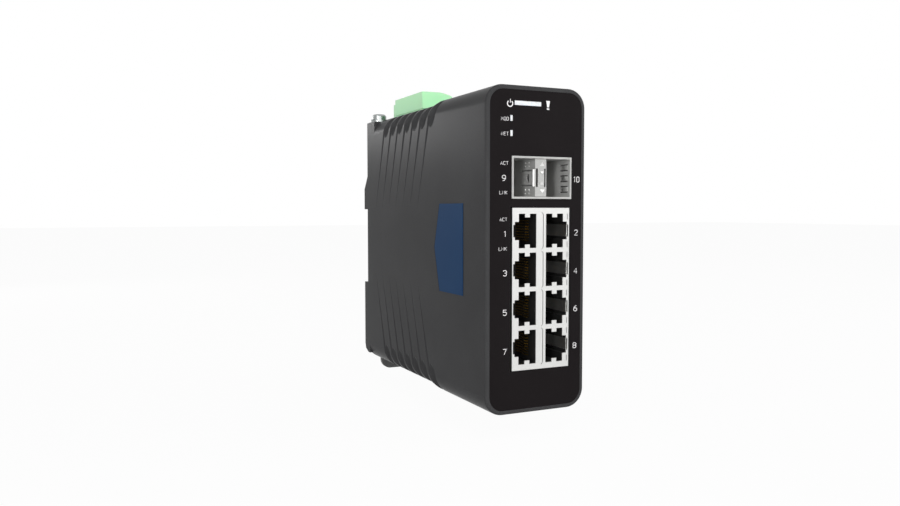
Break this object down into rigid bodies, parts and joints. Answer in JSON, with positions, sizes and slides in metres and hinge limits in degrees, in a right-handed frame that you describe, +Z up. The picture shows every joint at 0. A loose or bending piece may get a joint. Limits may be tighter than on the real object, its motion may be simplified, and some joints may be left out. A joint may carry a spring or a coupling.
{
  "type": "din rail ethernet switch",
  "caption": "Slim metal-cased network switch that snaps on a rail, with jacks and transceiver slots in front and a pull-off power plug on top.",
  "frame": {"origin": "middle of the rail seat, the flat rear face that lies against the rail's edges", "axes": "+X to the right seen from the front, +Y to the rear out of the rail seat, +Z up"},
  "size_m": [0.0417, 0.1278, 0.1308],
  "materials": {
    "powder_coat": "dark grey powder coat",
    "cover_coat": "dark grey powder coat",
    "grey_nylon": "grey glass-filled nylon",
    "label_black": "black printed polyester",
    "badge_blue": "dark blue printed polyester",
    "tin": "tin plated",
    "jack_black": "black",
    "terminal_green": "pale green",
    "board_green": "green solder mask",
    "chip_black": "black moulded package",
    "zinc": "zinc plated",
    "gold": "gold plated",
    "pad_grey": "soft grey",
    "pipe_clear": "milky clear",
    "can_aluminium": "bare"
  },
  "bodies": {
    "chassis": {"board_screws": "zinc", "capacitors": "can_aluminium", "clock_crystal": "zinc", "flash_chip": "chip_black", "front_label": "label_black", "ground_flat_washer": "zinc", "ground_screw": "zinc", "ground_star_washer": "zinc", "heat_pad": "pad_grey", "housing": "powder_coat", "indicator_leds": "pipe_clear", "jack_contacts": "gold", "jack_insulator": "jack_black", "jack_shield": "tin", "latch_keeper": "zinc", "latch_keeper_screws": "zinc", "latch_spring": "zinc", "main_board": "board_green", "memory_chip": "chip_black", "mod_light_pipe": "pipe_clear", "net_light_pipe": "pipe_clear", "port_transformers": "chip_black", "power_header": "terminal_green", "power_inductor": "chip_black", "power_pins": "gold", "power_transformer": "chip_black", "processor_chip": "chip_black", "rear_cover": "cover_coat", "rear_cover_screws": "zinc", "sfp_cage": "tin", "sfp_connector_left": "jack_black", "sfp_connector_right": "jack_black", "sfp_divider": "tin", "side_badge": "badge_blue", "status_light_pipe": "pipe_clear", "switch_chip": "chip_black"},
    "latch": {"rail_latch": "grey_nylon"},
    "plug": {"power_plug": "terminal_green", "plug_clamps": "zinc", "plug_screws": "zinc"}
  },
  "joints": [
    {"name": "latch_slide", "type": "slide", "parent": "chassis", "child": "latch", "axis": [0, 0, -1], "range_m": [0, 0.004], "stiffness_N_per_m": 300, "springref_m": -0.003, "deforming": ["latch_spring"]},
    {"name": "plug_pull", "type": "slide", "parent": "chassis", "child": "plug", "axis": [0, 0, 1], "range_m": [0, 0.0125]}
  ]
}
